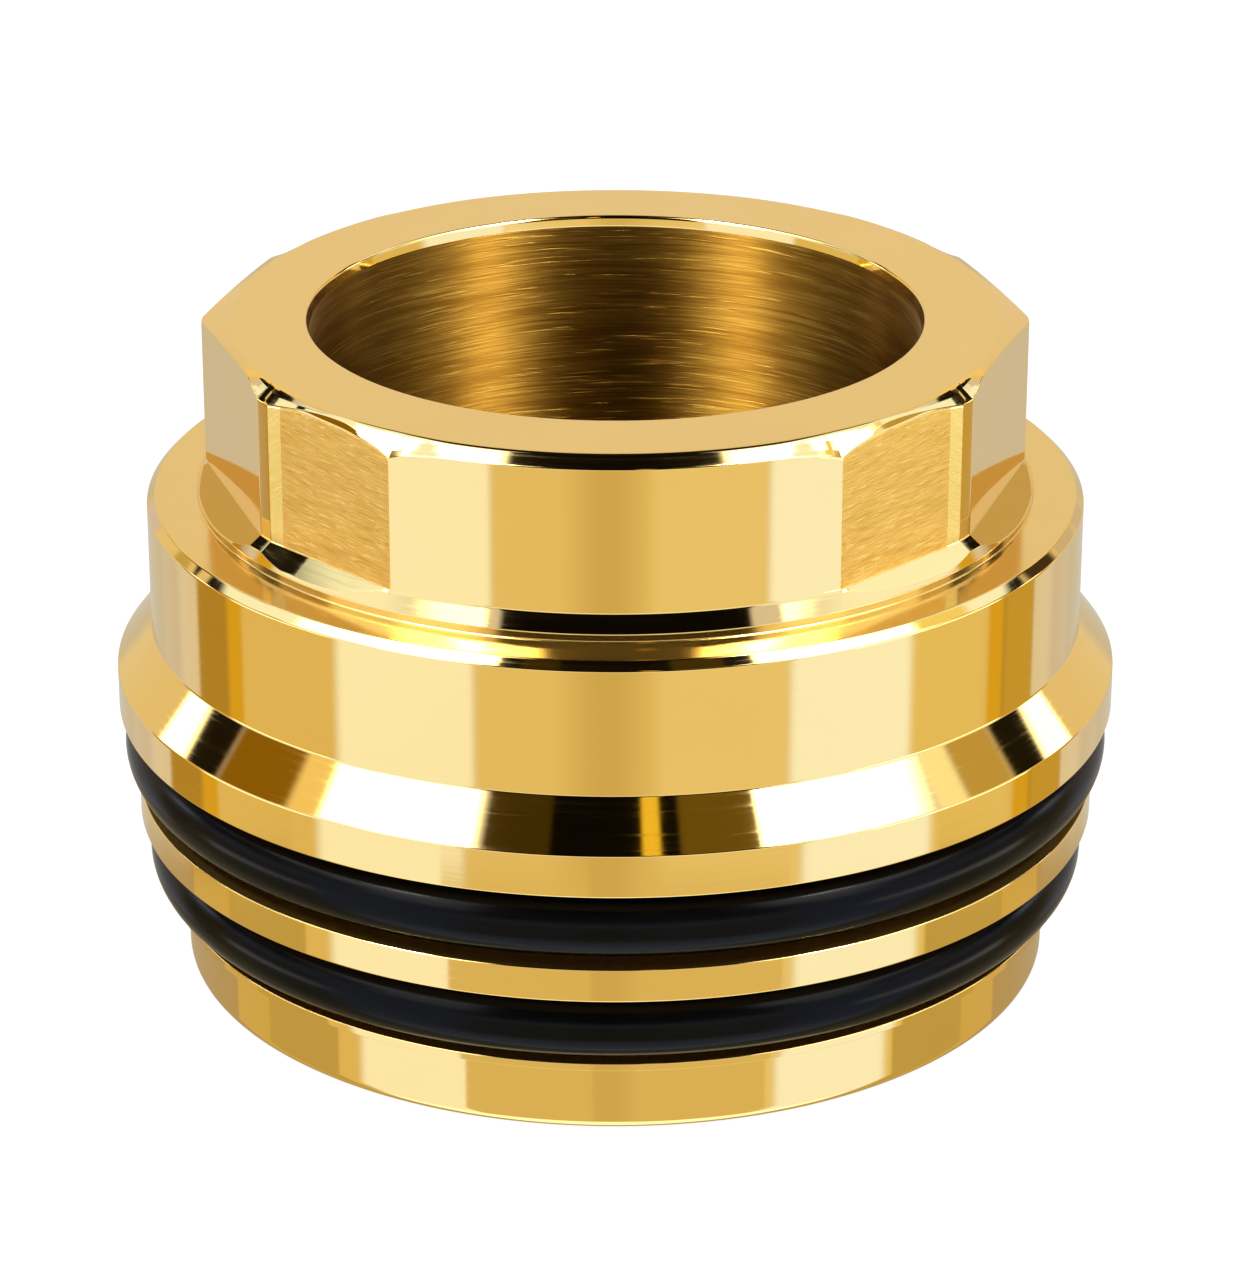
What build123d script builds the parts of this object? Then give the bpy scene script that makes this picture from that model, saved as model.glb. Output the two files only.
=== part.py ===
from build123d import *
import os
from math import radians, tan

# Diverter nut: a turned brass nut with milled flats on its head and two rubber O-rings round its spigot.
# Millimetres. The origin is the centre of the flat base, and +Z runs up the axis to the head's top face.

# Heights of the turned steps, from the base up
nose_height = 3.12
lower_groove_width = 3.23
mid_land_width = 1.36
upper_groove_width = 3.29
rim_height = 1.70
cone_height = 1.80
collar_height = 5.30
ring_height = 0.30
flare_height = 0.70
head_height = 6.05

# Outside diameters of the turned steps
nose_dia = 35.0
nose_lip_dia = 36.1
mid_land_dia = 38.6
rim_dia = 40.0
collar_dia = 37.2
head_dia = 32.5

# How far the ring at the head's foot stands out of the head
ring_width = 0.35

# Edges that show as forms of their own
nose_edge_radius = 0.45
nose_lip_height = 0.30
collar_edge = 0.32
head_edge_width = 0.75
head_edge_drop = 0.50
bore_edge = 0.34

# O-rings: their section, the depths of their grooves below the rim and below the middle land, and the
# gap left between rubber and brass
o_ring_section = 2.65
upper_groove_depth = 2.85
lower_groove_depth = 3.00
seat_clearance = 0.01

# The bore through the head, and the threaded bore that meets it from below
bore_dia = 24.0
thread_major_dia = 28.0
thread_pitch = 1.5
thread_length = 11.0
thread_entry = 0.9
relief_width = 2.0
relief_depth = 0.3

# Flats on the head, in mirrored pairs on its right and on its left: how far each one is turned from
# the X axis in degrees, and its depth in the round wall. The corner between two flats is broken too.
side_flat_angle = 18.5
side_flat_depth = 0.75
corner_flat_angle = 44.75
corner_flat_depth = 0.50
broken_corner_angle = 30.85
broken_corner_depth = 0.31

# The slope that the cutter leaves at the foot of each flat, which stops just short of the collar's face
flat_foot_slope = 36.0
cutter_clearance = 0.05

# Levels, stacked from the heights
lower_groove_level = nose_height
mid_land_level = lower_groove_level + lower_groove_width
upper_groove_level = mid_land_level + mid_land_width
rim_level = upper_groove_level + upper_groove_width
cone_level = rim_level + rim_height
collar_level = cone_level + cone_height
ring_level = collar_level + collar_height
flare_level = ring_level + ring_height
head_level = flare_level + flare_height
top_level = head_level + head_height

# The ring follows from the head's diameter
ring_dia = head_dia + 2 * ring_width

# Groove floors, which the O-rings sit on
upper_seat_dia = rim_dia - 2 * upper_groove_depth
lower_seat_dia = mid_land_dia - 2 * lower_groove_depth

# An ISO metric internal thread reaches inwards by this share of its pitch
thread_depth_share = 0.5413
thread_minor_dia = thread_major_dia - 2 * thread_depth_share * thread_pitch


def turned_blank():
    """The nut before its flats are milled: one section turned about the axis."""
    outside = [
        (nose_dia / 2, 0),
        (nose_dia / 2, lower_groove_level - nose_lip_height),
        (nose_lip_dia / 2, lower_groove_level - nose_lip_height),
        (nose_lip_dia / 2, lower_groove_level),
        (lower_seat_dia / 2, lower_groove_level),
        (lower_seat_dia / 2, mid_land_level),
        (mid_land_dia / 2, mid_land_level),
        (mid_land_dia / 2, upper_groove_level),
        (upper_seat_dia / 2, upper_groove_level),
        (upper_seat_dia / 2, rim_level),
        (rim_dia / 2, rim_level),
        (rim_dia / 2, cone_level),
        (collar_dia / 2, collar_level),
        (collar_dia / 2, ring_level - collar_edge),
        (collar_dia / 2 - collar_edge, ring_level),
        (ring_dia / 2, ring_level),
        (ring_dia / 2, flare_level),
        (head_dia / 2, head_level),
        (head_dia / 2, top_level - head_edge_drop),
        (head_dia / 2 - head_edge_width, top_level),
    ]
    relief_dia = thread_major_dia + 2 * relief_depth
    shoulder_level = thread_length + relief_width
    inside = [
        (bore_dia / 2 + bore_edge, top_level),
        (bore_dia / 2, top_level - bore_edge),
        (bore_dia / 2, shoulder_level),
        (relief_dia / 2, shoulder_level),
        (relief_dia / 2, thread_length),
        (thread_minor_dia / 2, thread_length),
        (thread_minor_dia / 2, thread_entry),
        (thread_minor_dia / 2 + thread_entry, 0),
    ]
    with BuildPart() as blank:
        with BuildSketch(Plane.XZ) as section:
            with BuildLine():
                Polyline(*outside, *inside, close=True)
            make_face()
            nose_corner = section.vertices().sort_by_distance(Vector(nose_dia / 2, 0, 0))[0]
            fillet(nose_corner, nose_edge_radius)
        revolve(axis=Axis.Z)
    return blank.part


def flat_cutter(angle, depth):
    """What a cutter takes away for one flat: the wall down to the head's foot, then the slope outwards."""
    flat_distance = head_dia / 2 - depth
    slope_end = ring_level + cutter_clearance
    slope_run = (head_level - slope_end) / tan(radians(flat_foot_slope))
    outside = flat_distance + slope_run + head_dia / 2
    above = top_level + head_edge_drop
    with BuildPart() as cutter:
        with BuildSketch(Plane.XZ):
            with BuildLine():
                Polyline(
                    (flat_distance, head_level),
                    (flat_distance + slope_run, slope_end),
                    (outside, slope_end),
                    (outside, above),
                    (flat_distance, above),
                    close=True,
                )
            make_face()
        extrude(amount=head_dia / 2, both=True)
    return Rot(0, 0, angle) * cutter.part


def nut_body():
    """The nut's body, with flats on its right and on its left, and round at front and back."""
    flats = [
        (side_flat_angle, side_flat_depth),
        (corner_flat_angle, corner_flat_depth),
        (broken_corner_angle, broken_corner_depth),
    ]
    body = turned_blank()
    for side in (0, 180):
        for angle, depth in flats:
            body -= flat_cutter(side + angle, depth)
            body -= flat_cutter(side - angle, depth)
    return body


def o_ring(seat_dia, groove_level, groove_width):
    """An O-ring seated on the floor of its groove, halfway between the groove's sides."""
    centre_radius = seat_dia / 2 + seat_clearance + o_ring_section / 2
    ring = Torus(centre_radius, o_ring_section / 2)
    return Pos(0, 0, groove_level + groove_width / 2) * ring


pieces = {
    "nut_body": nut_body(),
    "upper_o_ring": o_ring(upper_seat_dia, upper_groove_level, upper_groove_width),
    "lower_o_ring": o_ring(lower_seat_dia, lower_groove_level, lower_groove_width),
}

os.makedirs("parts", exist_ok=True)
for name, shape in pieces.items():
    export_step(shape, f"parts/{name}.step")
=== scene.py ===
from math import cos, pi, radians, sin, tan

import bpy
import numpy as np
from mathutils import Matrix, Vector


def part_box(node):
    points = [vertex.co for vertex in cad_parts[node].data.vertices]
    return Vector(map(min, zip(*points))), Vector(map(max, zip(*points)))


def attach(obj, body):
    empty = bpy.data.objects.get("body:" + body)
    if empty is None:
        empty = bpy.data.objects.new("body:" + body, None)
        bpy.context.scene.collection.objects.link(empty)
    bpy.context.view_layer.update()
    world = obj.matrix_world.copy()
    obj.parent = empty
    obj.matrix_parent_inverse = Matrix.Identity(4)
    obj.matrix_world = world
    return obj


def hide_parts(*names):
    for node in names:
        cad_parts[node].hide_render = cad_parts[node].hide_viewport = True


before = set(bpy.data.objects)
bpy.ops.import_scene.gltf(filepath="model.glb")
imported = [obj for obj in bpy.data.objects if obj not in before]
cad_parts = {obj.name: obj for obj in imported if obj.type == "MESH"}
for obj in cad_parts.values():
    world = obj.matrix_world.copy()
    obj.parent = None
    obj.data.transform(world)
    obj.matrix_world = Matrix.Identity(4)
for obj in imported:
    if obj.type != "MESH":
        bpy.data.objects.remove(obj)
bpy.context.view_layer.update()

# Diverter nut: a polished brass nut, turned and then milled with flats, with two rubber O-rings on its
# spigot. Metres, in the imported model's frame: the base's centre is the origin and +Z runs up the axis.

MM = 0.001

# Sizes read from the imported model
rim_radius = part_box("nut_body")[1].x
top_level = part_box("nut_body")[1].z

# Heights of the turned steps, from the base up
nose_height = 3.12 * MM
lower_groove_width = 3.23 * MM
mid_land_width = 1.36 * MM
upper_groove_width = 3.29 * MM
rim_height = 1.70 * MM
cone_height = 1.80 * MM
collar_height = 5.30 * MM
ring_height = 0.30 * MM
flare_height = 0.70 * MM

# Radii of the turned steps
nose_radius = 17.5 * MM
nose_lip_radius = 18.05 * MM
lower_seat_radius = 16.3 * MM
mid_land_radius = 19.3 * MM
upper_seat_radius = 17.15 * MM
collar_radius = 18.6 * MM
ring_radius = 16.6 * MM
head_radius = 16.25 * MM

# Edges that show as forms of their own, and the small break that every other edge has
nose_edge = 0.45 * MM
nose_lip_height = 0.30 * MM
collar_edge = 0.32 * MM
bore_edge_width = 0.12 * MM
bore_edge_drop = 0.43 * MM
small_edge = 0.05 * MM
fine_edge = 0.015 * MM
ring_edge = 0.03 * MM
lower_edge = 0.075 * MM
rolled_edge = 0.13 * MM

# The chamfer round the head's top face: the face is narrower at its right and left, and the chamfer's
# slope differs at the front, over the corners and at the right and left ends
front_top_radius = 15.65 * MM
side_top_narrowing = 0.62 * MM
front_chamfer_slope = 0.667
corner_chamfer_slope = 0.82
inner_chamfer_slope = 1.08
side_chamfer_slope = 0.25

# Bearings between which the chamfer changes on its way from the right and left ends to the front, in
# degrees from the X axis: where its slopes over the corners begin, steepen and give way to the front's
corner_slope_start = (26, 33)
inner_slope_start = (40, 49)
front_slope_start = (58, 68)

# Over a corner flat the chamfer has three facets. Towards the front the low one widens from its least
# share of the full width, and the high one narrows to its own. The flat's upper corner towards the front
# is rounded. Bearings are in degrees again.
low_share = 0.3
high_share = 0.7
low_facet_slope = 1.44
high_facet_slope = 0.64
low_facet_width = 0.15 * MM
high_facet_width = 0.30 * MM
least_low_share = 0.25
least_high_share = 0.2
facets_start = (32.8, 34.6)
facets_end = (51, 55)
low_facet_widening = (37, 51)
high_facet_narrowing = (34, 52)
rounding_start = 55.4
rounding_length = 3.5
rounding_fade = 1.6
flat_corner_drop = 0.15 * MM

# The bore, its run-out groove and its thread
bore_radius = 12.0 * MM
thread_major_radius = 14.0 * MM
thread_pitch = 1.5 * MM
thread_length = 11.0 * MM
thread_entry = 0.9 * MM
thread_depth = 0.5413 * thread_pitch
relief_width = 2.0 * MM
relief_radius = 14.3 * MM

# Flats on the head, in mirrored pairs: the bearing of each from the X axis, and its distance out. The
# ends of the flats are in degrees, and each edge has a column of points this close beside it.
side_flat = (radians(18.5), 15.5 * MM)
broken_corner = (radians(30.85), 15.94 * MM)
corner_flat = (radians(44.75), 15.75 * MM)
flat_ends = (1.0, 32.0, 35.0, 59.0)
edge_column_gap = radians(0.2)

# The slope at the foot of a flat, which is steeper under the outer part of the corner flat. The wall
# counts as cut where a flat has taken off more than the least cut.
foot_slope = tan(radians(36.0))
foot_slope_gain = 0.10
foot_slope_change = (39.5, 42.5)
least_cut = 0.004 * MM
flare_slope = flare_height / (ring_radius - head_radius)
facet_start = 0.06 * MM
facet_end = 0.045 * MM

# Levels, stacked from the heights
mid_land_level = nose_height + lower_groove_width
upper_groove_level = mid_land_level + mid_land_width
rim_level = upper_groove_level + upper_groove_width
cone_level = rim_level + rim_height
collar_level = cone_level + cone_height
ring_level = collar_level + collar_height
flare_level = ring_level + ring_height
head_level = flare_level + flare_height
shoulder_level = thread_length + relief_width
front_chamfer_drop = (head_radius - front_top_radius) * front_chamfer_slope
thread_minor_radius = thread_major_radius - thread_depth
entry_radius = thread_minor_radius + thread_entry

# How finely round things are divided, how close points are before they merge, and how close a point is
# to a plane that it counts as part of
merge_distance = 0.002 * MM
same_plane = 0.01 * MM
body_columns = 720
thread_steps = 160
ring_columns = 320
ring_sides = 48

# A groove's finish starts this far inside the middle land, and a flat's this far below the top face
below_land = 0.06 * MM
below_top = 0.2 * MM

# The photograph's height, the camera that took it, and how near the camera sees
photo_height = 1274
camera_place = (0, -182.928 * MM, 90.572 * MM)
camera_pitch = radians(22.984)
focal_pixels = 4923.4
sensor_size = 36.0
view_shift_pixels = 2.2
nearest_seen = 10 * MM


class Wire:
    """A value in a node tree. Sums, products and the like of wires add their own Math nodes."""

    def __init__(self, tree, socket):
        self.tree = tree
        self.socket = socket

    def maths(self, operation, *others):
        return self.tree.add("ShaderNodeMath", {"operation": operation}, [self, *others])

    def before(self, operation, other):
        return self.tree.add("ShaderNodeMath", {"operation": operation}, [other, self])

    def __add__(self, other):
        return self.maths("ADD", other)

    def __radd__(self, other):
        return self.before("ADD", other)

    def __sub__(self, other):
        return self.maths("SUBTRACT", other)

    def __rsub__(self, other):
        return self.before("SUBTRACT", other)

    def __mul__(self, other):
        return self.maths("MULTIPLY", other)

    def __rmul__(self, other):
        return self.before("MULTIPLY", other)

    def __truediv__(self, other):
        return self.maths("DIVIDE", other)

    def __pow__(self, other):
        return self.maths("POWER", other)

    def __abs__(self):
        return self.maths("ABSOLUTE")

    def below(self, limit):
        return self.maths("LESS_THAN", limit)

    def above(self, limit):
        return self.maths("GREATER_THAN", limit)

    def near(self, value, tolerance):
        return self.maths("COMPARE", value, tolerance)

    def smaller(self, other):
        return self.maths("MINIMUM", other)

    def larger(self, other):
        return self.maths("MAXIMUM", other)

    def rise(self, start, end):
        """0 up to start and 1 from end on, with a smooth rise between them."""
        values = {"Value": self, "From Min": start, "From Max": end}
        return self.tree.add("ShaderNodeMapRange", {"interpolation_type": "SMOOTHSTEP"}, values)

    def window(self, start, end, softness):
        """1 between start and end, and 0 outside, with edges that are softness wide."""
        half_width = (end - start) / 2
        half_edge = softness / 2
        values = {
            "Value": abs(self - (start + end) / 2),
            "From Min": half_width - half_edge,
            "From Max": half_width + half_edge,
            "To Min": 1.0,
            "To Max": 0.0,
        }
        return self.tree.add("ShaderNodeMapRange", {"interpolation_type": "SMOOTHSTEP"}, values)


class Tree:
    """A node tree that is filled by calls."""

    def __init__(self, node_tree):
        self.node_tree = node_tree
        self.node_tree.nodes.clear()

    def add(self, kind, settings=None, inputs=None, output=0):
        """One node: its settings first, then its sockets' values or links. Gives one of its outputs."""
        node = self.node_tree.nodes.new(kind)
        for name, value in (settings or {}).items():
            setattr(node, name, value)
        if isinstance(inputs, list):
            inputs = dict(enumerate(inputs))
        for key, value in (inputs or {}).items():
            self.feed(node.inputs[key], value)
        return Wire(self, node.outputs[output]) if node.outputs else None

    def feed(self, socket, value):
        if isinstance(value, Wire):
            self.node_tree.links.new(value.socket, socket)
        else:
            socket.default_value = value

    def split(self, vector):
        """The three numbers of a vector."""
        node = self.node_tree.nodes.new("ShaderNodeSeparateXYZ")
        self.feed(node.inputs[0], vector)
        return [Wire(self, output) for output in node.outputs]

    def join(self, x, y, z):
        return self.add("ShaderNodeCombineXYZ", None, [x, y, z])

    def mix_colour(self, factor, first, second):
        return self.add("ShaderNodeMix", {"data_type": "RGBA"}, {0: factor, 6: first, 7: second}, 2)

    def noise(self, vector, w, scale, detail=2.0, roughness=0.5):
        values = {"Vector": vector, "W": w, "Scale": scale, "Detail": detail, "Roughness": roughness}
        return self.add("ShaderNodeTexNoise", {"noise_dimensions": "4D"}, values)


class GeometryTree(Tree):
    """A geometry node tree with named inputs, which can be applied to an object."""

    def __init__(self, name):
        super().__init__(bpy.data.node_groups.new(name, "GeometryNodeTree"))
        self.node_tree.interface.new_socket("Geometry", in_out="INPUT", socket_type="NodeSocketGeometry")
        self.node_tree.interface.new_socket("Geometry", in_out="OUTPUT", socket_type="NodeSocketGeometry")
        self.values = {}
        self.source = self.node_tree.nodes.new("NodeGroupInput")

    def geometry(self):
        return Wire(self, self.source.outputs["Geometry"])

    def take(self, name, value):
        """A named input of the tree, of the kind that suits its value."""
        kinds = {int: "NodeSocketInt", float: "NodeSocketFloat", bpy.types.Material: "NodeSocketMaterial"}
        socket = self.node_tree.interface.new_socket(name, in_out="INPUT", socket_type=kinds[type(value)])
        self.values[socket.identifier] = value
        return Wire(self, self.source.outputs[name])

    def finish(self, geometry, material):
        """Ends the tree: instances are made real, and the faces get the material."""
        real = self.add("GeometryNodeRealizeInstances", None, [geometry])
        painted = self.add("GeometryNodeSetMaterial", None, {"Geometry": real, "Material": material})
        self.add("NodeGroupOutput", None, [painted])

    def apply(self, piece):
        """Runs the tree on a piece and leaves the result as the piece's plain mesh."""
        modifier = piece.modifiers.new("make", "NODES")
        modifier.node_group = self.node_tree
        for identifier, value in self.values.items():
            modifier[identifier] = value
        settled = piece.evaluated_get(bpy.context.evaluated_depsgraph_get())
        mesh = bpy.data.meshes.new_from_object(settled)
        piece.modifiers.clear()
        piece.data = mesh
        mesh.name = piece.name
        return piece


def new_piece(name, mesh=None):
    piece = bpy.data.objects.new(name, mesh or bpy.data.meshes.new(name))
    bpy.context.scene.collection.objects.link(piece)
    return piece


def weigh_normals(mesh):
    """Smooth shading in which wide faces keep their own direction and narrow edge breaks turn the corner."""
    mesh.shade_smooth()
    directions = np.zeros((len(mesh.vertices), 3))
    for face in mesh.polygons:
        directions[list(face.vertices)] += np.array(face.normal) * face.area**2
    directions /= np.linalg.norm(directions, axis=1, keepdims=True)
    mesh.normals_split_custom_set_from_vertices(directions)


# The nut's body

def on_chamfer(share):
    """A point of the chamfer at the front, from its foot at 0 to the top face's edge at 1."""
    radius = head_radius - share * (head_radius - front_top_radius)
    level = top_level - (1 - share) * front_chamfer_drop
    return radius, level


def section_corners():
    """The section's corners, up the outside and down the bore: radius, level, edge break and row name."""
    return [
        (nose_radius, 0, nose_edge, None),
        (nose_radius, nose_height - nose_lip_height, fine_edge, None),
        (nose_lip_radius, nose_height - nose_lip_height, fine_edge, None),
        (nose_lip_radius, nose_height, small_edge, None),
        (lower_seat_radius, nose_height, small_edge, None),
        (lower_seat_radius, mid_land_level, small_edge, None),
        (mid_land_radius, mid_land_level, lower_edge, None),
        (mid_land_radius, upper_groove_level, small_edge, None),
        (upper_seat_radius, upper_groove_level, small_edge, None),
        (upper_seat_radius, rim_level, small_edge, None),
        (rim_radius, rim_level, lower_edge, None),
        (rim_radius, cone_level, small_edge, None),
        (collar_radius, collar_level, small_edge, None),
        (collar_radius, ring_level - collar_edge, small_edge, None),
        (collar_radius - collar_edge, ring_level, small_edge, None),
        (ring_radius, ring_level, small_edge, None),
        (ring_radius, flare_level, ring_edge, "ring_row"),
        (head_radius + facet_start, head_level - facet_start * flare_slope, fine_edge, "facet_row"),
        (head_radius, head_level, small_edge, "foot_row"),
        (head_radius, top_level - front_chamfer_drop, small_edge, "wall_top_row"),
        (*on_chamfer(low_share), fine_edge, "low_chamfer_row"),
        (*on_chamfer(high_share), fine_edge, "high_chamfer_row"),
        (front_top_radius, top_level, rolled_edge, "top_row"),
        (bore_radius + bore_edge_width, top_level, rolled_edge, None),
        (bore_radius, top_level - bore_edge_drop, small_edge, None),
        (bore_radius, shoulder_level, small_edge, None),
        (relief_radius, shoulder_level, small_edge, None),
        (relief_radius, thread_length, small_edge, None),
        (thread_major_radius, thread_length, small_edge, None),
        (thread_major_radius, entry_radius - thread_major_radius, fine_edge, None),
        (entry_radius, 0, fine_edge, None),
    ]


row_names = (
    "ring_row",
    "facet_row",
    "foot_row",
    "wall_top_row",
    "low_chamfer_row",
    "high_chamfer_row",
    "top_row",
)


def rounded(before, corner, after, reach):
    """Points of the curve that breaks one corner, with its ends reach away along the two walls."""
    start = corner + (before - corner).normalized() * reach
    end = corner + (after - corner).normalized() * reach
    steps = 8 if reach > 2 * small_edge else 2
    shares = [step / steps for step in range(steps + 1)]
    return [(1 - t) ** 2 * start + 2 * t * (1 - t) * corner + t**2 * end for t in shares]


def section_mesh():
    """The section as a closed loop of edges in the XY plane, with a mark on each row that milling moves."""
    corners = section_corners()
    points = [Vector((radius, level)) for radius, level, _, _ in corners]
    loop = []
    marks = []
    for index, (_, _, reach, row) in enumerate(corners):
        after = points[(index + 1) % len(points)]
        broken = rounded(points[index - 1], points[index], after, reach)
        loop += [(point.x, point.y, 0) for point in broken]
        marks += [row] * len(broken)
    mesh = bpy.data.meshes.new("section")
    edges = [(index, (index + 1) % len(loop)) for index in range(len(loop))]
    mesh.from_pydata(loop, edges, [])
    for name in row_names:
        attribute = mesh.attributes.new(name, "FLOAT", "POINT")
        attribute.data.foreach_set("value", [float(mark == name) for mark in marks])
    return mesh


def named_number(tree, name):
    return tree.add("GeometryNodeInputNamedAttribute", {"data_type": "FLOAT"}, {"Name": name})


def progress(bearing, ends):
    """0 up to the first of two bearings in degrees and 1 from the second on, with a smooth rise."""
    return bearing.rise(radians(ends[0]), radians(ends[1]))


def turned(tree, columns):
    """The section turned about the axis: swept round a small circle, and set back by its radius."""
    sweep_radius = 1.0 * MM
    values = {"Resolution": columns, "Radius": sweep_radius}
    path = tree.add("GeometryNodeCurvePrimitiveCircle", None, values)
    profile = tree.add("GeometryNodeMeshToCurve", None, [tree.geometry()])
    values = {"Geometry": profile, "Translation": (-sweep_radius, 0, 0), "Scale": (1, -1, 1)}
    profile = tree.add("GeometryNodeTransform", None, values)
    swept = tree.add("GeometryNodeCurveToMesh", None, {"Curve": path, "Profile Curve": profile})
    return tree.add("GeometryNodeFlipFaces", None, [swept])


def beside_edges(bearing, head_rows, edge_gap):
    """The bearings of the head's points. Columns beside the end of a flat move close to it, so that its
    edge is crisp."""
    step = radians(360 / body_columns)
    new_bearing = bearing
    for end in flat_ends:
        beside = bearing - radians(end)
        is_beside = abs(beside).near(step, step / 10) * head_rows
        new_bearing = new_bearing - is_beside * beside.maths("SIGN") * (step - edge_gap)
    return new_bearing


def chamfer_slope(bearing):
    """The chamfer's slope: flat at the right and left ends, steep over the corners, less so at the front."""
    corner_gain = corner_chamfer_slope - side_chamfer_slope
    inner_gain = inner_chamfer_slope - corner_chamfer_slope
    front_loss = inner_chamfer_slope - front_chamfer_slope
    slope = side_chamfer_slope + corner_gain * progress(bearing, corner_slope_start)
    slope = slope + inner_gain * progress(bearing, inner_slope_start)
    return slope - front_loss * progress(bearing, front_slope_start)


def chamfer_dip(bearing):
    """How far the chamfer's foot dips at the upper front corner of a corner flat."""
    degrees = bearing / radians(1)
    to_corner = ((degrees - rounding_start) / rounding_length).larger(0.0).smaller(1.0)
    past_corner = ((degrees - flat_ends[3]) / rounding_fade).larger(0.0).smaller(1.0)
    return flat_corner_drop * (1 - (1 - to_corner * to_corner) ** 0.5) * (1 - past_corner)


def rows_on_chamfer(bearing, chamfer_foot, top_edge):
    """Radius and level of the two rows between the chamfer's foot and the top face's edge."""
    over_flat = progress(bearing, facets_start) * (1 - progress(bearing, facets_end))
    low_growth = (1 - least_low_share) * progress(bearing, low_facet_widening)
    high_loss = (1 - least_high_share) * progress(bearing, high_facet_narrowing)
    low_width = low_facet_width * (least_low_share + low_growth)
    high_width = high_facet_width * (1 - high_loss)
    foot_radius, foot_level = chamfer_foot
    edge_radius, edge_level = top_edge
    low_facet = (foot_radius - low_width, foot_level + low_facet_slope * low_width)
    high_facet = (edge_radius + high_width, edge_level - high_facet_slope * high_width)
    rows = []
    for share, facet in ((low_share, low_facet), (high_share, high_facet)):
        even = [foot + share * (edge - foot) for foot, edge in zip(chamfer_foot, top_edge)]
        rows.append([plain + over_flat * (cut - plain) for plain, cut in zip(even, facet)])
    return rows


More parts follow.
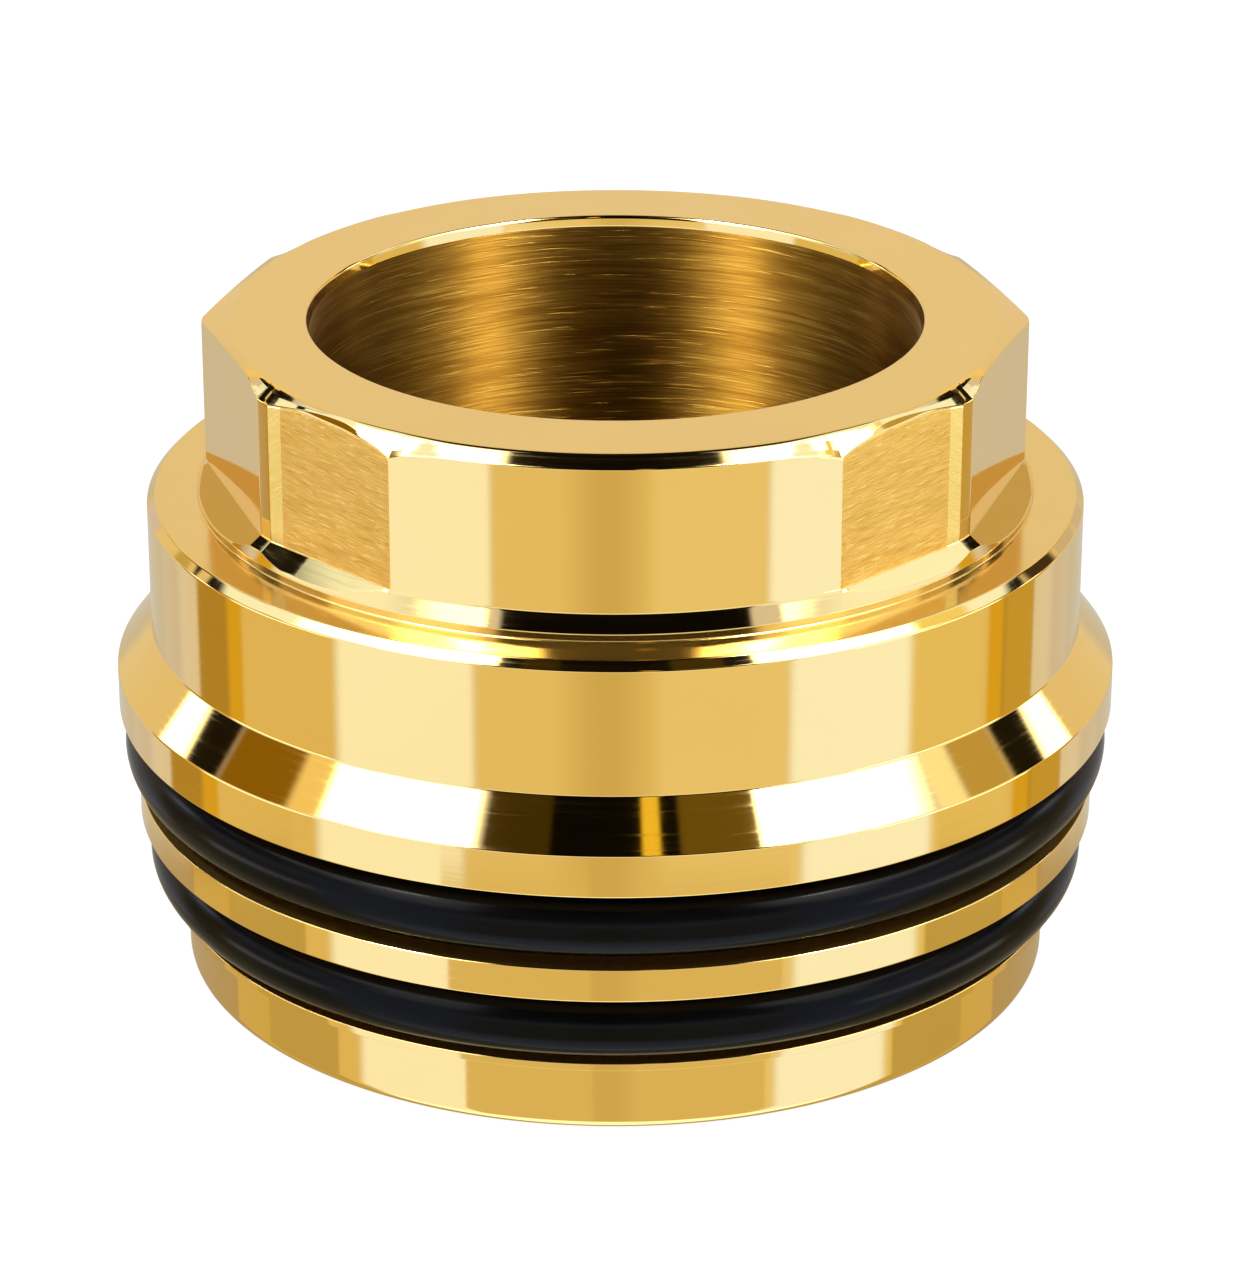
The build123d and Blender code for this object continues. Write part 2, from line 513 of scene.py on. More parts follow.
def turned_and_milled(flats, paints):
    """The tree that turns the section about the axis, mills the head's flats and gives each place its
    finish."""
    tree = GeometryTree("turned and milled nut")
    columns = tree.take("Columns", body_columns)
    head = tree.take("Head radius", head_radius)
    foot = tree.take("Head level", head_level)
    top = tree.take("Top level", top_level)
    ring = tree.take("Ring radius", ring_radius)
    ring_top = tree.take("Ring top level", flare_level)
    top_radius = tree.take("Top radius at the front", front_top_radius)
    narrowing = tree.take("Top narrowing at the sides", side_top_narrowing)
    cuts = []
    for name, (angle, distance) in flats.items():
        cuts.append((tree.take(name + " angle", angle), tree.take(name + " distance", distance)))
    edge_gap = tree.take("Column gap beside an edge", edge_column_gap)
    slots = {name: tree.take(name, paint) for name, paint in paints.items()}
    blank = turned(tree, columns)

    x, y, z = tree.split(tree.add("GeometryNodeInputPosition"))
    radius = (x * x + y * y) ** 0.5
    bearing = abs(y).maths("ARCTAN2", abs(x))
    marks = {name: named_number(tree, name) for name in row_names}
    head_rows = marks["facet_row"]
    for name in ("foot_row", "wall_top_row", "top_row", "low_chamfer_row", "high_chamfer_row"):
        head_rows = head_rows + marks[name]

    new_bearing = beside_edges(bearing, head_rows, edge_gap)
    last_slope = foot_slope * (1 + foot_slope_gain * (1 - progress(bearing, foot_slope_change)))
    cut_slopes = [foot_slope, foot_slope, last_slope]
    leans = [(new_bearing - angle).maths("COSINE") for angle, _ in cuts]

    # Where each flat leaves the wall, and where the slope at its foot runs out on the flare
    wall = head
    facet = head + facet_start
    for (_, distance), cut_slope, lean in zip(cuts, cut_slopes, leans):
        wall = wall.smaller(distance / lean)
        run_out = (flare_slope * head - cut_slope * distance) / (flare_slope - cut_slope * lean)
        facet = facet.larger(run_out)
    facet = facet.smaller(ring - facet_end)
    facet_level = foot - flare_slope * (facet - head)
    ring_cut = ring_top
    for (_, distance), cut_slope, lean in zip(cuts, cut_slopes, leans):
        facet_level = facet_level.smaller(foot - cut_slope * (facet * lean - distance))
        ring_cut = ring_cut.smaller(foot - cut_slope * (ring * lean - distance))

    # The chamfer, from its foot at the wall up to the top face's edge
    top_edge = top_radius - narrowing * new_bearing.maths("COSINE") ** 3
    chamfer_foot = top - chamfer_slope(bearing) * (wall - top_edge) - chamfer_dip(bearing)
    low_place, high_place = rows_on_chamfer(bearing, (wall, chamfer_foot), (top_edge, top))

    # Each marked row moves from its place on the round head to its place on the milled one
    low_start = on_chamfer(low_share)
    high_start = on_chamfer(high_share)
    start_facet_level = foot - flare_slope * facet_start
    start_chamfer_foot = top - front_chamfer_slope * (head - top_radius)
    on_wall = marks["foot_row"] + marks["wall_top_row"]
    out = on_wall * (wall - head)
    out = out + marks["facet_row"] * (facet - head - facet_start)
    out = out + marks["top_row"] * (top_edge - top_radius)
    out = out + marks["low_chamfer_row"] * (low_place[0] - low_start[0])
    out = out + marks["high_chamfer_row"] * (high_place[0] - high_start[0])
    is_cut = (head - wall).above(least_cut)
    foot_shrink = is_cut * (1 - foot_slope / flare_slope)
    up = marks["ring_row"] * (ring_cut - ring_top)
    up = up + marks["facet_row"] * (facet_level - start_facet_level)
    up = up + marks["wall_top_row"] * (chamfer_foot - start_chamfer_foot)
    up = up + marks["foot_row"] * (foot - z).larger(0.0) * foot_shrink

    # The edge breaks at the chamfer's two ends follow its facets, and shrink where a facet is narrow
    low_run = wall - low_place[0]
    high_run = high_place[0] - top_edge
    low_slope = (low_place[1] - chamfer_foot) / low_run
    high_slope = (top - high_place[1]) / high_run
    low_fit = ((low_run - fine_edge) / small_edge).smaller(1.0)
    high_fit = ((high_run - fine_edge) / rolled_edge).smaller(1.0)
    rise = marks["wall_top_row"] * (z - start_chamfer_foot).larger(0.0) / front_chamfer_slope
    drop = marks["top_row"] * (top - z) / front_chamfer_slope
    out = out - rise * (low_fit - 1) + drop * (high_fit - 1)
    up = up + rise * (low_slope * low_fit - front_chamfer_slope)
    up = up - drop * (high_slope * high_fit - front_chamfer_slope)

    # The points of a row between two facets lie on the facet that each one belongs to
    mid_slope = (high_place[1] - low_place[1]) / (low_place[0] - high_place[0])
    rows_between = (
        ("low_chamfer_row", low_start, low_place, low_slope, mid_slope),
        ("high_chamfer_row", high_start, high_place, mid_slope, high_slope),
    )
    for row, start, place, outer_slope, inner_slope in rows_between:
        outwards = radius - start[0]
        own_slope = inner_slope + outwards.above(0.0) * (outer_slope - inner_slope)
        up = up + marks[row] * (place[1] - start[1] - outwards * (own_slope - front_chamfer_slope))

    new_radius = radius + out
    new_x = new_radius * new_bearing.maths("COSINE") * x.maths("SIGN")
    new_y = new_radius * new_bearing.maths("SINE") * y.maths("SIGN")
    place = tree.join(new_x, new_y, z + up)
    milled = tree.add("GeometryNodeSetPosition", None, {"Geometry": blank, "Position": place})
    values = {"Geometry": milled, "Distance": merge_distance}
    milled = tree.add("GeometryNodeMergeByDistance", None, values)
    real = tree.add("GeometryNodeRealizeInstances", None, [milled])
    painted = painted_by_place(tree, real, slots, cuts[-1])
    tree.add("NodeGroupOutput", None, [painted])
    return tree


def painted_by_place(tree, painted, slots, brushed_cut):
    """The polished finish everywhere, and then the others where they belong."""
    x, y, z = tree.split(tree.add("GeometryNodeInputPosition"))
    radius = (x * x + y * y) ** 0.5
    bearing = abs(y).maths("ARCTAN2", abs(x))
    angle, distance = brushed_cut
    on_flat = (radius * (bearing - angle).maths("COSINE")).near(distance, 2 * same_plane)
    on_flat = on_flat * bearing.above(radians(flat_ends[2])) * bearing.below(radians(flat_ends[3]))
    on_flat = on_flat * z.above(head_level) * z.below(top_level - below_top)
    in_bore = radius.below(relief_radius + 2 * small_edge) * z.above(small_edge)
    in_bore = in_bore * z.below(top_level - bore_edge_drop)
    in_groove = z.above(nose_height - 2 * same_plane) * z.below(rim_level + same_plane)
    in_groove = in_groove * radius.below(mid_land_radius - below_land) * radius.above(relief_radius + MM)
    places = {
        "Brushed flat": on_flat,
        "Bore": in_bore,
        "Faced": z.above(top_level - same_plane) + z.below(same_plane),
        "Collar face": z.near(ring_level, same_plane) * radius.above(ring_radius - small_edge),
        "Groove": in_groove,
    }
    values = {"Geometry": painted, "Material": slots["Polished"]}
    painted = tree.add("GeometryNodeSetMaterial", None, values)
    for name, selection in places.items():
        values = {"Geometry": painted, "Selection": selection, "Material": slots[name]}
        painted = tree.add("GeometryNodeSetMaterial", None, values)
    return painted


def nut_body(paints):
    flats = {"Side flat": side_flat, "Broken corner": broken_corner, "Corner flat": corner_flat}
    body = new_piece("brass_body", section_mesh())
    turned_and_milled(flats, paints).apply(body)
    for name in row_names:
        mark = body.data.attributes.get(name)
        if mark:
            body.data.attributes.remove(mark)
    weigh_normals(body.data)
    return body


# Materials

brass = (0.93, 0.67, 0.24, 1)
deep_brass = (0.84, 0.55, 0.16, 1)
# Painted shade: the bore's colours are far darker than brass, for the shade deep in the bore; the lighter
# one marks the tool's rings
shaded_bore_brass = (0.150, 0.052, 0.001, 1)
shaded_bore_line_brass = (0.50, 0.29, 0.045, 1)
# Painted shade: a dark brown for the shade in the groove under the O-ring
groove_shade_brown = (0.62, 0.32, 0.03, 1)
rubber = (0.0010, 0.0010, 0.0011, 1)
rubber_bloom = (0.0020, 0.0020, 0.0022, 1)
# Painted shade: the corner flats' field and lines are coloured darker than the polished brass; the lines
# themselves are real brushing
shaded_field_brass = (0.73, 0.50, 0.16, 1)
shaded_line_brass = (0.56, 0.335, 0.07, 1)
# Painted glints: the scratches are coloured paler than brass; their bumps are real
scratch_glint_brass = (0.98, 0.76, 0.38, 1)
# Painted highlight: the strip beside the outer corner is coloured paler than brass; its finer lines are real
strip_highlight_brass = (1.0, 0.86, 0.45, 1)

# The lines on the corner flats. Distances along a flat start at its middle and grow towards its inner end.
line_tilt = radians(4)
line_spacing = 0.055 * MM
fine_line_tilt = radians(35)
strip_end = -1.98 * MM


def new_material(name):
    material = bpy.data.materials.new(name)
    material.use_nodes = True
    return material, Tree(material.node_tree)


def turned_coordinates(tree):
    """Object coordinates for marks that run round the axis: a point on a small circle, and the radius."""
    x, y, z = tree.split(tree.add("ShaderNodeTexCoord", output="Object"))
    radius = (x * x + y * y) ** 0.5
    return x / radius, y / radius, z, radius


def metal(tree, colour, roughness, normal, constants=None):
    values = {"Base Color": colour, "Roughness": roughness, "Metallic": 1.0, "Normal": normal}
    values.update(constants or {})
    shader = tree.add("ShaderNodeBsdfPrincipled", None, values)
    tree.add("ShaderNodeOutputMaterial", None, [shader])


def bump(tree, height, depth, strength=1.0):
    return tree.add("ShaderNodeBump", None, {"Height": height, "Distance": depth, "Strength": strength})


def mirror_brass():
    """Mirror finish with very fine marks that run round the axis."""
    material, tree = new_material("mirror_brass")
    round_x, round_y, z, radius = turned_coordinates(tree)
    fine = tree.noise(tree.join(round_x * 1.2, round_y * 1.2, z / (0.35 * MM)), radius / (0.35 * MM), 3.0)
    slow = tree.noise(tree.join(round_x * 2.0, round_y * 2.0, z / (6 * MM)), radius / (6 * MM), 1.0)
    colour = tree.mix_colour((slow - 0.35) * 0.30, brass, deep_brass)
    roughness = 0.045 + 0.04 * fine.rise(0.45, 0.75)
    metal(tree, colour, roughness, bump(tree, fine, 0.00025 * MM))
    return material


def faced_brass():
    """Satin face with faint rings left by the facing tool."""
    material, tree = new_material("faced_brass")
    round_x, round_y, z, radius = turned_coordinates(tree)
    rings = tree.noise(tree.join(round_x * 1.5, round_y * 1.5, z), radius / (0.30 * MM), 2.0)
    cloud = tree.noise(tree.join(round_x * 3.0, round_y * 3.0, z), radius / (5 * MM), 1.2)
    colour = tree.mix_colour((cloud - 0.3) * 0.35, brass, deep_brass)
    roughness = 0.20 + 0.10 * rings
    metal(tree, colour, roughness, bump(tree, rings, 0.0006 * MM))
    return material


def turned_face_brass():
    """Finely turned face: nearly a mirror, with rings left by the tool."""
    material, tree = new_material("turned_face_brass")
    round_x, round_y, z, radius = turned_coordinates(tree)
    rings = tree.noise(tree.join(round_x * 1.2, round_y * 1.2, z), radius / (0.12 * MM), 2.0)
    cloud = tree.noise(tree.join(round_x * 3.0, round_y * 3.0, z), radius / (3 * MM), 1.2)
    colour = tree.mix_colour((cloud - 0.3) * 0.25, brass, deep_brass)
    roughness = 0.12 + 0.06 * rings
    metal(tree, colour, roughness, bump(tree, rings, 0.0005 * MM))
    return material


def groove_brass():
    """Groove that the O-ring hides for the most part, left as it was turned. In places its colour runs to a
    dark brown, painted shade of the recess under the ring.
    """
    material, tree = new_material("groove_brass")
    round_x, round_y, z, radius = turned_coordinates(tree)
    rings = tree.noise(tree.join(round_x * 1.2, round_y * 1.2, z / (0.15 * MM)), radius / (0.15 * MM), 2.0)
    # painted shade: parts of the groove are coloured dark brown
    colour = tree.mix_colour(rings, deep_brass, groove_shade_brown)
    metal(tree, colour, 0.30 + 0.12 * rings, bump(tree, rings, 0.001 * MM))
    return material


def brushed_brass():
    """The corner flats: coarse lines with a few scratch marks, and a strip with finer lines beside the outer
    corner. The field and its lines are coloured darker than brass, painted shade; the scratch marks are
    coloured paler, painted glints; the strip is coloured paler, a painted highlight."""
    material, tree = new_material("brushed_brass")
    x, y, z = tree.split(tree.add("ShaderNodeTexCoord", output="Object"))
    angle = corner_flat[0]
    along = abs(y) * cos(angle) - abs(x) * sin(angle)
    tilted = z + along * tan(line_tilt)
    wander = tree.noise(tree.join(along / (2.2 * MM), tilted / (0.7 * MM), 0.0), 0.0, 1.0, 2.0)
    across = tilted / line_spacing + 5.0 * wander
    lines = tree.noise(tree.join(along / (1.1 * MM), across, 0.0), 2.0, 1.0, 2.0, 0.6)
    broad = tree.noise(tree.join(along / (2.0 * MM), across / 5.0, 0.0), 4.0, 1.0, 2.0, 0.6)
    thin = tree.noise(tree.join(along / (0.8 * MM), across * 1.5, 0.0), 5.0, 1.0, 0.0)
    scratches_and_glints = thin.rise(0.68, 0.75)
    pits = tree.noise(tree.join(along / (0.16 * MM), across * 0.7, 0.0), 8.0, 1.0, 0.0).rise(0.74, 0.80)
    slanted = z - along * tan(fine_line_tilt)
    fine = tree.noise(tree.join(along / (1.0 * MM), slanted / (0.06 * MM), 0.0), 0.0, 1.0, 2.0)
    strip = along.below(strip_end)
    coarse = 1 - strip
    shade = 0.60 * lines.rise(0.34, 0.62) + 0.44 * broad.rise(0.32, 0.64)
    # painted shade: the field and its lines are darker than brass
    colour = tree.mix_colour(1 - shade, shaded_field_brass, shaded_line_brass)
    # painted glints on the scratches
    colour = tree.mix_colour(scratches_and_glints * 0.7, colour, scratch_glint_brass)
    colour = tree.mix_colour(pits * 0.6, colour, shaded_line_brass)
    # painted highlight: the strip's paler colour
    strip_colour = tree.mix_colour(fine.rise(0.35, 0.65) * 0.5, strip_highlight_brass, brass)
    colour = tree.mix_colour(strip, colour, strip_colour)
    roughness = 0.22 + 0.10 * coarse
    height = coarse * (lines + 0.6 * scratches_and_glints - 0.5 * pits) * 0.006 * MM + strip * fine * 0.002 * MM
    metal(tree, colour, roughness, bump(tree, height, 1.0))
    return material


def bore_brass():
    """Bored wall: rings left by the boring tool, which stretch a reflection up and down. Both of its colours
    are painted shade, far darker than brass, for the shade deep in the bore.
    """
    material, tree = new_material("bore_brass")
    round_x, round_y, z, _ = turned_coordinates(tree)
    climb = z + 0.7 * MM * tree.noise(tree.join(round_x, round_y, z / (4 * MM)), 1.0, 1.0, 1.0)
    rings = tree.noise(tree.join(round_x * 2.4, round_y * 2.4, climb / (0.07 * MM)), 0.0, 1.0, 2.0, 0.6)
    bands = tree.noise(tree.join(round_x * 2.6, round_y * 2.6, climb / (0.4 * MM)), 3.0, 1.0, 2.0)
    patches = tree.noise(tree.join(round_x * 5.0, round_y * 5.0, z / (3 * MM)), 9.0, 1.0, 2.0)
    scores = tree.noise(tree.join(round_x * 4.5, round_y * 4.5, climb / (0.10 * MM)), 7.0, 1.0, 1.0)
    scores = scores.rise(0.60, 0.70)
    shade = 0.25 + 0.5 * rings.rise(0.32, 0.66) * bands.rise(0.28, 0.62) + 0.4 * scores
    # painted shade: the bore's dark colour, with lighter rings where the tool left its marks
    colour = tree.mix_colour(shade, shaded_bore_brass, shaded_bore_line_brass)
    roughness = 0.42 + 0.05 * patches
    height = (rings + 1.2 * bands + 0.8 * scores) * 0.018 * MM
    stretched = {"Anisotropic": 1.0, "Anisotropic Rotation": 0.25}
    metal(tree, colour, roughness, bump(tree, height, 1.0), stretched)
    return material


def thread_brass():
    """Cut thread: satin flanks with a light tool grain."""
    material, tree = new_material("thread_brass")
    round_x, round_y, z, radius = turned_coordinates(tree)
    grain = tree.noise(tree.join(round_x * 4.0, round_y * 4.0, z / (0.2 * MM)), radius / (0.1 * MM), 1.5)
    colour = tree.mix_colour(grain.rise(0.3, 0.7), deep_brass, brass)
    metal(tree, colour, 0.16 + 0.10 * grain, bump(tree, grain, 0.001 * MM))
    return material


def moulded_rubber():
    """Moulded nitrile rubber: black, smooth, with a faint bloom in its sheen."""
    material, tree = new_material("moulded_rubber")
    coordinates = tree.add("ShaderNodeTexCoord", output="Object")
    bloom = tree.noise(coordinates, 0.0, 320.0, 2.0)
    grain = tree.noise(coordinates, 4.0, 5200.0, 1.0)
    values = {
        "Base Color": tree.mix_colour(bloom, rubber, rubber_bloom),
        "Roughness": 0.15 + 0.06 * bloom,
        "Normal": bump(tree, grain, 0.00015 * MM),
        "Specular IOR Level": 0.07,
    }
    tree.add("ShaderNodeOutputMaterial", None, [tree.add("ShaderNodeBsdfPrincipled", None, values)])
    return material


# The thread in the bore

def internal_thread(paint):
    """One ridge wound up the bore, trimmed by the entry cone below and the run-out groove above."""
    root_depth = 0.05 * MM
    base_half = 7 / 16 * thread_pitch
    crest_half = 1 / 8 * thread_pitch
    tree = GeometryTree("internal thread")
    major = tree.take("Major radius", thread_major_radius)
    pitch = tree.take("Pitch", thread_pitch)
    length = tree.take("Length", thread_length)
    cone = tree.take("Entry radius", entry_radius)
    steps = tree.take("Steps in a turn", thread_steps)
    material = tree.take("Material", paint)
    turns = length / pitch + 1.0
    values = {"Resolution": steps, "Rotations": turns, "Height": turns * pitch}
    values.update({"Start Radius": major, "End Radius": major})
    path = tree.add("GeometryNodeCurveSpiral", None, values)
    values = {"Geometry": path, "Translation": (0, 0, -thread_pitch / 2)}
    path = tree.add("GeometryNodeTransform", None, values)
    path = tree.add("GeometryNodeSetCurveNormal", {"mode": "Z_UP"}, {"Curve": path})
    outline = bpy.data.meshes.new("thread outline")
    corners = [
        (-root_depth, base_half, 0),
        (-root_depth, -base_half, 0),
        (thread_depth, -crest_half, 0),
        (thread_depth, crest_half, 0),
    ]
    outline.from_pydata(corners, [(0, 1), (1, 2), (2, 3), (3, 0)], [])
    profile = tree.add("GeometryNodeMeshToCurve", None, [tree.geometry()])
    values = {"Curve": path, "Profile Curve": profile, "Fill Caps": True}
    ridge = tree.add("GeometryNodeCurveToMesh", None, values)
    x, y, z = tree.split(tree.add("GeometryNodeInputPosition"))
    radius = (x * x + y * y) ** 0.5
    level = z.larger(0.0).smaller(length)
    trimmed = radius.larger(cone - level) / radius
    place = tree.join(x * trimmed, y * trimmed, level)
    ridge = tree.add("GeometryNodeSetPosition", None, {"Geometry": ridge, "Position": place})
    ridge = tree.add("GeometryNodeMergeByDistance", None, {"Geometry": ridge, "Distance": merge_distance})
    tree.finish(ridge, material)
    return tree.apply(new_piece("bore_thread", outline))


# O-rings

def o_ring(name, node, paint):
    """A ring of round section, as wide and as high as its solid."""
    low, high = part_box(node)
    section_radius = (high.z - low.z) / 2
    tree = GeometryTree(name)
    centre = tree.take("Centre radius", high.x - section_radius)
    section = tree.take("Section radius", section_radius)
    level = tree.take("Level", (high.z + low.z) / 2)
    columns = tree.take("Columns", ring_columns)
    sides = tree.take("Sides", ring_sides)
    material = tree.take("Material", paint)
    path = tree.add("GeometryNodeCurvePrimitiveCircle", None, {"Resolution": columns, "Radius": centre})
    profile = tree.add("GeometryNodeCurvePrimitiveCircle", None, {"Resolution": sides, "Radius": section})
    ring = tree.add("GeometryNodeCurveToMesh", None, {"Curve": path, "Profile Curve": profile})
    lift = tree.join(0.0, 0.0, level)
    ring = tree.add("GeometryNodeSetPosition", None, {"Geometry": ring, "Offset": lift})
    tree.finish(ring, material)
    piece = tree.apply(new_piece(name))
    piece.data.shade_smooth()
    return piece


# The studio: a world of pale walls, soft panels of light and dark flags. It lights the nut and shows in its
# reflections, and the camera itself sees white. Angles are in degrees. A bearing of 0 is towards the
# camera, and bearings grow to its right.

def light(red, green, blue):
    return (red, green, blue, 1)


pale_wall = light(0.75, 0.76, 1.02)
black_card = light(0.01, 0.008, 0.004)
black_cloth = light(0.004, 0.003, 0.002)
bright_panel = light(100, 100, 96)
both_sides = [
    # name, light, bearings, heights, softness of the edges
    ("wall behind", light(0.84, 0.75, 0.60), (145, 181), (-90, 48), 6),
    ("lower wall behind", light(0.64, 0.61, 0.54), (145, 181), (-90, 8), 6),
    ("side wall", light(0.79, 0.77, 0.82), (120, 134), (-90, -8), 6),
    ("end of the side wall", light(0.68, 0.65, 0.66), (134, 147), (-90, -8), 6),
    ("upper part of the side wall", light(0.84, 0.74, 0.54), (120, 152), (-8, 30), 8),
    ("gold card behind", light(1.0, 0.80, 0.44), (142, 168), (26, 36), 3),
    ("brown card", light(0.60, 0.45, 0.22), (138, 150), (17, 25.5), 3),
    ("warm wall", light(0.80, 0.66, 0.34), (71, 110), (-90, 12), 4),
    ("orange wall", light(0.74, 0.48, 0.04), (103, 110), (-90, 12), 2),
    ("orange card", light(0.47, 0.31, 0.06), (109, 123.2), (-90, 6), 2.5),
    ("bright strip beside the wall", light(3.7, 3.7, 3.8), (58, 102), (-14, -5), 3),
    ("middle panel", light(1.07, 1.22, 1.65), (40, 103), (11, 24), 4),
    ("high panel", light(4.6, 4.6, 4.6), (38, 100), (35, 74), 3),
    ("bright lower part of the high panel", bright_panel, (57, 75), (48.5, 55), 3),
    ("bright upper part of the high panel", bright_panel, (74, 93), (67, 74), 3),
    ("far panel", light(4.0, 4.0, 4.4), (98, 120), (58, 75), 5),
    ("far gold panel", light(1.07, 1.27, 1.7), (98, 134), (29, 60), 3),
    ("dark behind", black_card, (140, 181), (47.5, 91), 2),
    ("black card beyond", black_card, (134, 149), (33, 37), 0.5),
    ("foot of the black card beyond", black_card, (125, 141), (22.5, 33.5), 1),
    ("black flag", black_card, (103.5, 120), (18.5, 29), 2),
    ("end of the black flag", black_card, (118, 122), (25.5, 28), 1.5),
    ("white strip", light(4.0, 4.0, 4.0), (112.5, 122), (12.5, 19), 2),
]
left_and_right = [
    ("low panel on the left", light(1.07, 1.20, 1.60), (-71, -34), (-90, 14), 4),
    ("low panel on the right", light(1.06, 1.23, 1.80), (42, 77), (-90, 14), 6),
    ("panel above the low one on the left", light(3.4, 3.4, 3.4), (-61, -36), (25, 36), 2),
    ("panel above the low one on the right", light(3.4, 3.4, 3.4), (47, 65), (25, 36), 2),
    ("black card beyond on the left", black_card, (-126.5, -119.5), (35, 44), 0.5),
    ("front of the black card beyond", black_card, (-120, -115.5), (40, 44), 0.5),
    ("bright strip on the right", light(4.4, 4.4, 4.0), (58, 102), (-14, -5), 3),
    ("brown flag on the left", light(0.27, 0.145, 0.004), (-103.5, -84), (21, 35), 3),
    ("gold card on the left", light(0.98, 0.80, 0.42), (-85, -77), (29, 38), 3),
    ("gold flag on the right", light(0.56, 0.42, 0.14), (91, 103.5), (21, 35), 3),
    ("end of the gold flag", light(1.1, 1.12, 0.95), (84, 91), (24, 35), 2),
    ("dark card on the right", light(0.06, 0.04, 0.02), (123, 132.5), (15, 28), 2.5),
    ("gold card beside the high panel", light(1.0, 0.88, 0.42), (94, 107), (36, 48), 3),
    ("grey card on the right", light(0.66, 0.60, 0.60), (133.5, 152), (9, 16.5), 2),
    ("lower grey card on the right", light(0.66, 0.60, 0.62), (143.5, 156), (1.5, 9), 2),
    ("grey card on the left", light(0.69, 0.68, 0.90), (-156, -142.5), (1.5, 10), 2),
    ("brown card on the left", light(0.60, 0.48, 0.20), (-133, -127.5), (15.5, 21), 2),
    ("warm wall on the right", light(0.84, 0.72, 0.38), (77, 101), (-90, -16), 4),
    ("orange card on the right", light(0.60, 0.42, 0.08), (110, 123), (-90, 4), 3),
    ("front wall", light(0.84, 0.73, 0.47), (-34, 42), (-90, 16), 3),
    ("front wall on the right", light(0.88, 0.79, 0.55), (10, 42), (-90, 16), 5),
    ("middle of the front wall", light(0.68, 0.56, 0.29), (-10, 6), (-90, 16), 14),
    ("black above the camera", black_cloth, (-32, 38), (16.5, 91), 2),
    ("black further above", black_cloth, (-35, 39), (38, 91), 2),
    ("black overhead in front", black_cloth, (-44, 51), (58, 91), 2),
    ("black overhead", black_cloth, (-181, 181), (75, 91), 2),
    ("brown on the left", light(0.052, 0.034, 0.0024), (-36, -18), (40, 60), 2),
    ("dark brown on the left", light(0.034, 0.021, 0.0015), (-36, -22), (60, 82), 2),
    ("brown on the right", light(0.15, 0.10, 0.012), (18, 39), (40, 60), 2),
    ("dark brown on the right", light(0.05, 0.034, 0.004), (22, 41), (60, 68), 2),
    ("gold slit", light(0.96, 0.69, 0.08), (7.5, 12.5), (38, 58), 1.5),
    ("bright line on the front wall", light(1.15, 1.25, 1.5), (-34, 42), (1, 11), 4),
    ("bright ground in front", light(1.5, 1.65, 1.9), (-95, 95), (-91, -46), 8),
]
near_the_ground = [
    ("low front wall", light(0.76, 0.64, 0.36), (6, 40), (-46, -25.8), 1),
    ("low wall beside", light(0.57, 0.46, 0.20), (79, 106), (-90, -25.6), 1),
    ("low wall beyond", light(0.68, 0.54, 0.24), (106, 122), (-90, -25.4), 1),
    ("low wall behind", light(0.50, 0.41, 0.28), (122, 181), (-90, -25.2), 1),
]


# The studio is made in parts, so that a ray meets only the cards near it: bands of heights, each with a
# front part and a back part
height_bands = ((-91, 0), (0, 33), (33, 91))
front_end = 80


def hang(tree, scene_light, cards, bearing, height, band, at_front):
    """Hangs each card that reaches into one part of the studio before what is behind it."""
    for _, colour, (left, right), (low, high), softness in cards:
        reach = softness / 2
        if low - reach > band[1] or high + reach < band[0]:
            continue
        nearest = 0 if left < 0 < right else min(abs(left), abs(right))
        farthest = max(abs(left), abs(right))
        if at_front and nearest - reach > front_end:
            continue
        if not at_front and farthest + reach < front_end:
            continue
        mask = bearing.window(left, right, softness) * height.window(low, high, softness)
        scene_light = tree.mix_colour(mask, scene_light, colour)
    return scene_light


def studio_part(tree, bearing, height, band, at_front):
    """The light of one part of the studio. Later cards hang before earlier ones."""
    around = hang(tree, pale_wall, both_sides, abs(bearing), height, band, at_front)
    around = hang(tree, around, left_and_right, bearing, height, band, at_front)
    around = hang(tree, around, near_the_ground, abs(bearing), height, band, at_front)
    return tree.add("ShaderNodeBackground", None, {"Color": around, "Strength": 1.0})


def studio_world():
    """The studio as a world that reflections see, with plain white for the camera itself."""
    world = bpy.data.worlds.new("studio")
    world.use_nodes = True
    bpy.context.scene.world = world
    tree = Tree(world.node_tree)
    x, y, z = tree.split(tree.add("ShaderNodeTexCoord", output="Generated"))
    to_degrees = 180 / pi
    bearing = x.maths("ARCTAN2", -1 * y) * to_degrees
    height = z.maths("ARCSINE") * to_degrees
    at_back = abs(bearing).above(front_end)
    studio = None
    for band in height_bands:
        front = studio_part(tree, bearing, height, band, True)
        back = studio_part(tree, bearing, height, band, False)
        part = tree.add("ShaderNodeMixShader", None, [at_back, front, back])
        if studio:
            part = tree.add("ShaderNodeMixShader", None, [height.above(band[0]), studio, part])
        studio = part
    white = tree.add("ShaderNodeBackground", None, {"Color": (1, 1, 1, 1), "Strength": 1.0})
    to_camera = tree.add("ShaderNodeLightPath", output="Is Camera Ray")
    shown = tree.add("ShaderNodeMixShader", None, [to_camera, studio, white])
    tree.add("ShaderNodeOutputWorld", None, [shown])


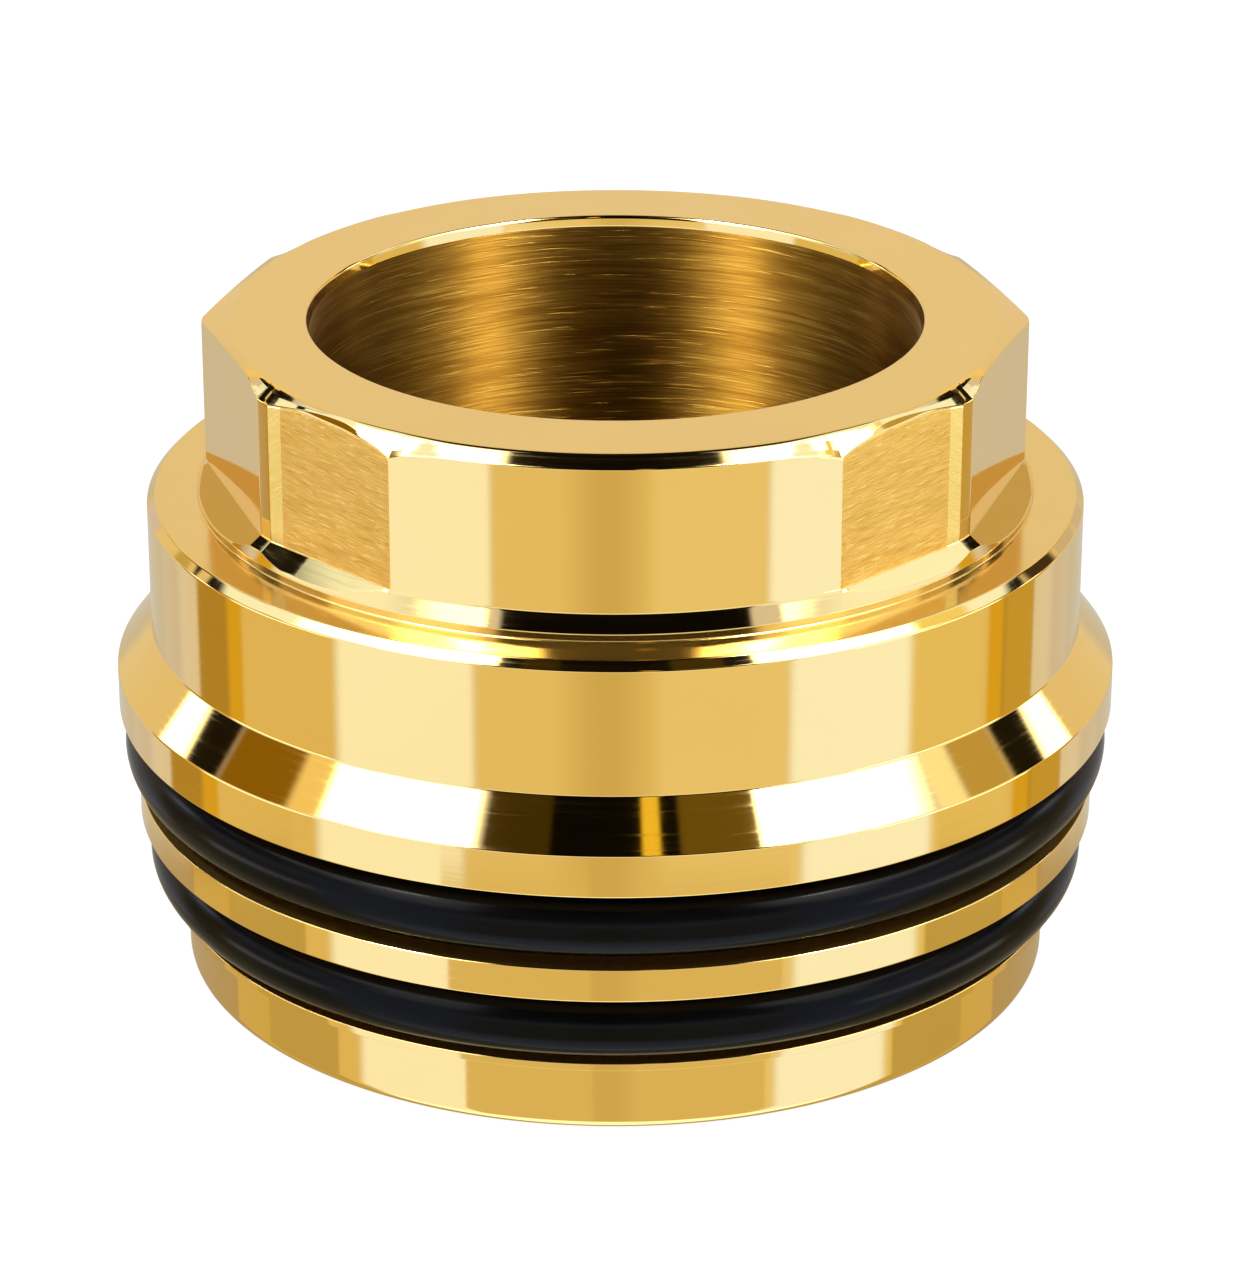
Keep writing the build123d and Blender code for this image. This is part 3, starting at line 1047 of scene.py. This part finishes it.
def floor():
    """A pale floor that keeps a soft shadow and is nearly white to the camera."""
    size = 1.2
    whiteness = 0.95
    mesh = bpy.data.meshes.new("floor")
    corners = [(-size, -size, 0), (size, -size, 0), (size, size, 0), (-size, size, 0)]
    mesh.from_pydata(corners, [], [(0, 1, 2, 3)])
    plane = new_piece("floor", mesh)
    material, tree = new_material("pale_floor")
    matt = tree.add("ShaderNodeBsdfDiffuse", None, {"Color": (0.9, 0.9, 0.9, 1)})
    white = tree.add("ShaderNodeEmission", None, {"Color": (1, 1, 1, 1), "Strength": 1.0})
    to_camera = tree.add("ShaderNodeLightPath", output="Is Camera Ray")
    seen = tree.add("ShaderNodeMixShader", None, [to_camera * whiteness, matt, white])
    tree.add("ShaderNodeOutputMaterial", None, [seen])
    mesh.materials.append(material)
    plane.visible_glossy = False


def shade_disc_under_bore():
    """A dark grey disc where the floor under the bore lies in the nut's shadow: painted shade. It shows in
    the bore's own reflections.
    """
    columns = 64
    lift = 0.02 * MM
    angles = [2 * pi * column / columns for column in range(columns)]
    radius = (thread_major_radius + nose_radius) / 2
    mesh = bpy.data.meshes.new("shade_disc_under_bore")
    corners = [(radius * cos(angle), radius * sin(angle), lift) for angle in angles]
    mesh.from_pydata(corners, [], [range(columns)])
    material, tree = new_material("painted_shade_disc")
    # painted shade: the disc is dark grey for the floor in the nut's shadow
    matt = tree.add("ShaderNodeBsdfDiffuse", None, {"Color": (0.12, 0.12, 0.12, 1)})
    tree.add("ShaderNodeOutputMaterial", None, [matt])
    mesh.materials.append(material)
    new_piece("shade_disc_under_bore", mesh)


def camera():
    """The photograph's camera, which looks down at the nut from the front."""
    data = bpy.data.cameras.new("camera")
    data.sensor_width = sensor_size
    data.lens = focal_pixels / photo_height * sensor_size
    data.shift_x = view_shift_pixels / photo_height
    data.clip_start = nearest_seen
    eye = bpy.data.objects.new("camera", data)
    bpy.context.scene.collection.objects.link(eye)
    eye.location = camera_place
    eye.rotation_euler = (radians(90) - camera_pitch, 0, 0)
    bpy.context.scene.camera = eye


def make():
    scene = bpy.context.scene
    scene.view_settings.view_transform = "Standard"
    camera()
    studio_world()
    floor()
    shade_disc_under_bore()

    paints = {
        "Polished": mirror_brass(),
        "Brushed flat": brushed_brass(),
        "Bore": bore_brass(),
        "Faced": faced_brass(),
        "Collar face": turned_face_brass(),
        "Groove": groove_brass(),
    }
    body = nut_body(paints)
    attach(body, "root")
    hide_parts("nut_body")

    thread = internal_thread(thread_brass())
    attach(thread, "root")

    rubber_paint = moulded_rubber()
    for name, node in (("upper_seal", "upper_o_ring"), ("lower_seal", "lower_o_ring")):
        ring = o_ring(name, node, rubber_paint)
        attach(ring, "root")
        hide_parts(node)


make()
